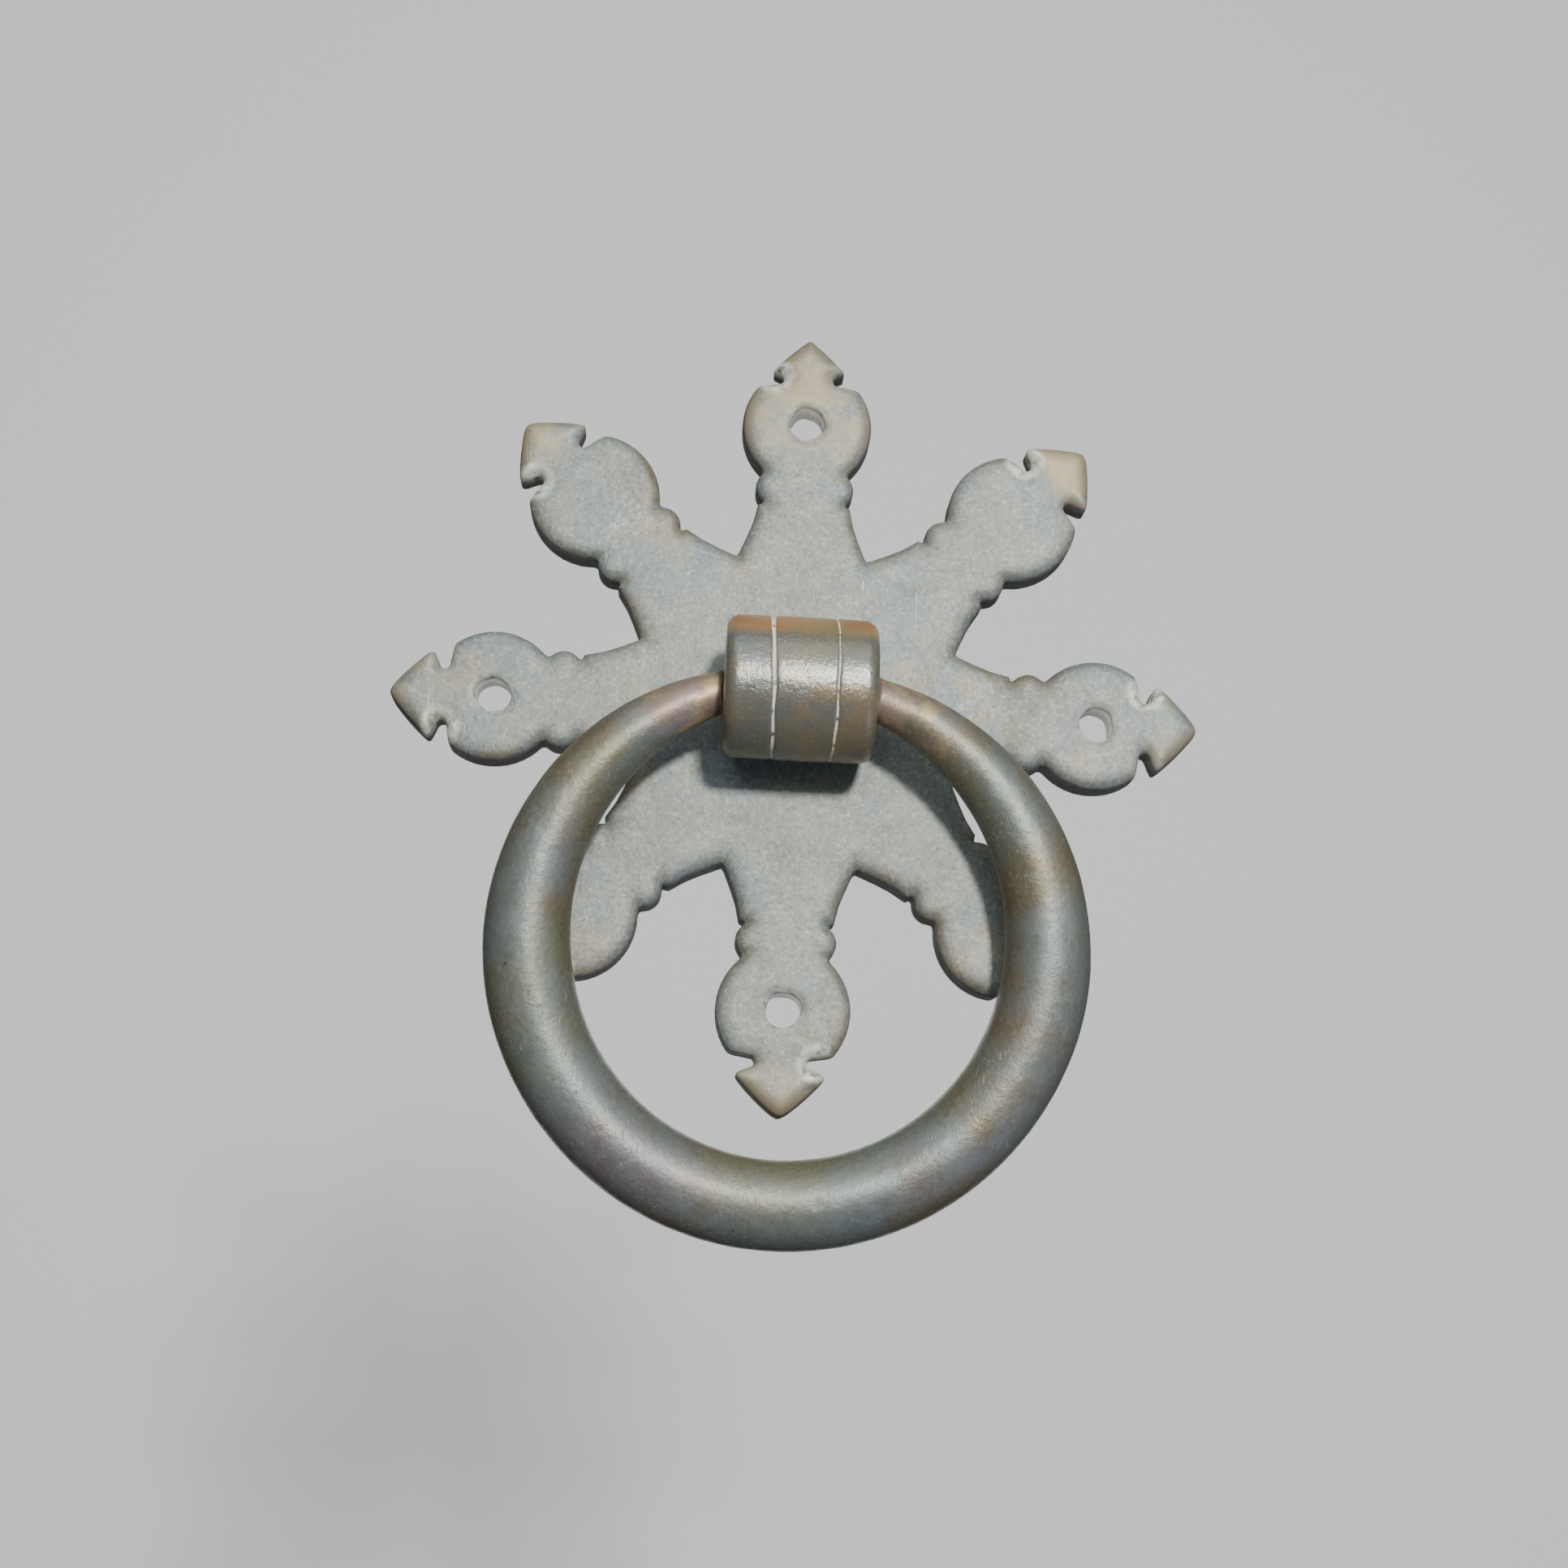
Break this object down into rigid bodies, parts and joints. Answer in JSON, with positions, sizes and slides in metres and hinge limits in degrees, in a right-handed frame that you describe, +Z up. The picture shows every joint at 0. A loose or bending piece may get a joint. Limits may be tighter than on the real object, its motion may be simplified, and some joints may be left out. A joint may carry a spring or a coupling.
{
  "type": "door knocker",
  "caption": "Ring door knocker: a tapered ring hinged in a barrel knuckle on a star-shaped back plate, screwed to a door.",
  "frame": {"origin": "centre of the back plate on its flat back face, which lies against the door", "axes": "+Z up along the door, +X to the right seen from the front, front towards -Y"},
  "size_m": [0.15, 0.0355, 0.1732],
  "materials": {
    "plate_bronze": "cast bronze with a matte grey-green patina",
    "barrel_bronze": "turned bronze with a dark brown patina, half gloss",
    "ring_bronze": "cast bronze, brown-olive patina polished by hands",
    "screw_brass": "tarnished brass"
  },
  "bodies": {
    "plate_assembly": {"back_plate": "plate_bronze", "bearing_saddle": "barrel_bronze", "knuckle_barrel": "barrel_bronze", "barrel_screws": "screw_brass"},
    "ring": {"ring": "ring_bronze"}
  },
  "joints": [
    {"name": "ring_hinge", "type": "hinge", "parent": "plate_assembly", "child": "ring", "pos_m": [0, -0.0226, 0], "axis": [-1, 0, 0], "range_deg": [0, 193]}
  ]
}
